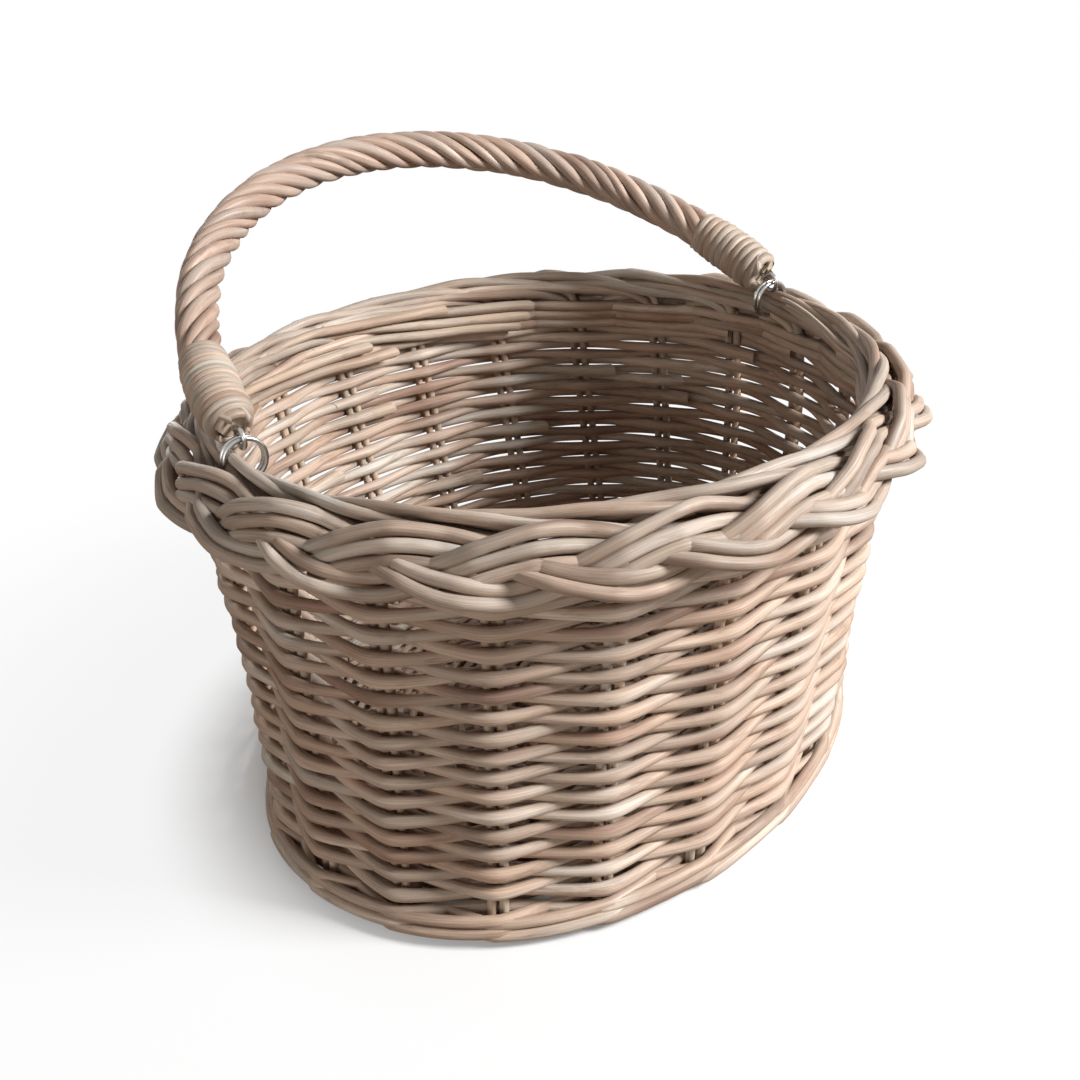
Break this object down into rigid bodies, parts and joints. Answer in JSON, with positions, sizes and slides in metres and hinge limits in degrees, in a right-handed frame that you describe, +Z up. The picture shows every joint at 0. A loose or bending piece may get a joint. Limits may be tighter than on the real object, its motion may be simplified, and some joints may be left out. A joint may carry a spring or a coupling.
{
  "type": "round wicker storage basket",
  "caption": "Round woven wicker storage basket with a plaited border and a roped swing handle held on steel wire rings.",
  "frame": {"origin": "on the floor, under the middle of the round rim", "axes": "+Z up; -Y towards the viewer at the picture's bearing; +X to the viewer's right"},
  "size_m": [0.308, 0.308, 0.2442],
  "materials": {
    "peeled_stick": "bare peeled stick, matt",
    "woven_rod": "bare weathered wicker, greyish tan, matt",
    "upright_rod": "bare wicker, pale tan, matt",
    "border_rod": "bare weathered wicker, pale grey tan, matt",
    "twisted_rod": "bare wicker, tan, slightly worn smooth",
    "split_cane": "split cane, satin",
    "steel_wire": "plain steel wire, slightly dulled"
  },
  "bodies": {
    "basket": {"base_stick_01": "peeled_stick", "base_stick_02": "peeled_stick", "base_stick_03": "peeled_stick", "base_stick_04": "peeled_stick", "base_stick_05": "peeled_stick", "base_stick_06": "peeled_stick", "base_stick_07": "peeled_stick", "base_stick_08": "peeled_stick", "base_stick_09": "peeled_stick", "base_stick_10": "peeled_stick", "base_weave_lower": "woven_rod", "base_weave_upper": "woven_rod", "stake_pair_01": "upright_rod", "stake_pair_02": "upright_rod", "stake_pair_03": "upright_rod", "stake_pair_04": "upright_rod", "stake_pair_05": "upright_rod", "stake_pair_06": "upright_rod", "stake_pair_07": "upright_rod", "stake_pair_08": "upright_rod", "stake_pair_09": "upright_rod", "stake_pair_10": "upright_rod", "stake_pair_11": "upright_rod", "stake_pair_12": "upright_rod", "stake_pair_13": "upright_rod", "stake_pair_14": "upright_rod", "stake_pair_15": "upright_rod", "stake_pair_16": "upright_rod", "stake_pair_17": "upright_rod", "stake_pair_18": "upright_rod", "stake_pair_19": "upright_rod", "stake_pair_20": "upright_rod", "foot_wale_1": "woven_rod", "foot_wale_2": "woven_rod", "foot_wale_3": "woven_rod", "side_weaver_a1": "woven_rod", "side_weaver_a2": "woven_rod", "side_weaver_a3": "woven_rod", "side_weaver_a4": "woven_rod", "side_weaver_b1": "woven_rod", "side_weaver_b2": "woven_rod", "side_weaver_b3": "woven_rod", "side_weaver_b4": "woven_rod", "top_wale_1": "woven_rod", "top_wale_2": "woven_rod", "top_wale_3": "woven_rod", "rim_rod_ridge": "border_rod", "rim_rod_inner": "border_rod", "border_strand_1": "border_rod", "border_strand_2": "border_rod", "border_strand_3": "border_rod", "handle_ring_left": "steel_wire", "handle_ring_right": "steel_wire"},
    "handle": {"handle_core": "peeled_stick", "handle_rope": "twisted_rod", "handle_binding_left": "split_cane", "handle_binding_right": "split_cane", "handle_eye_left": "steel_wire", "handle_eye_right": "steel_wire"}
  },
  "joints": [
    {"name": "handle_swing", "type": "hinge", "parent": "basket", "child": "handle", "pos_m": [0, 0, 0.1765], "axis": [0.8339, 0.5519, 0], "range_deg": [0, 132]}
  ]
}
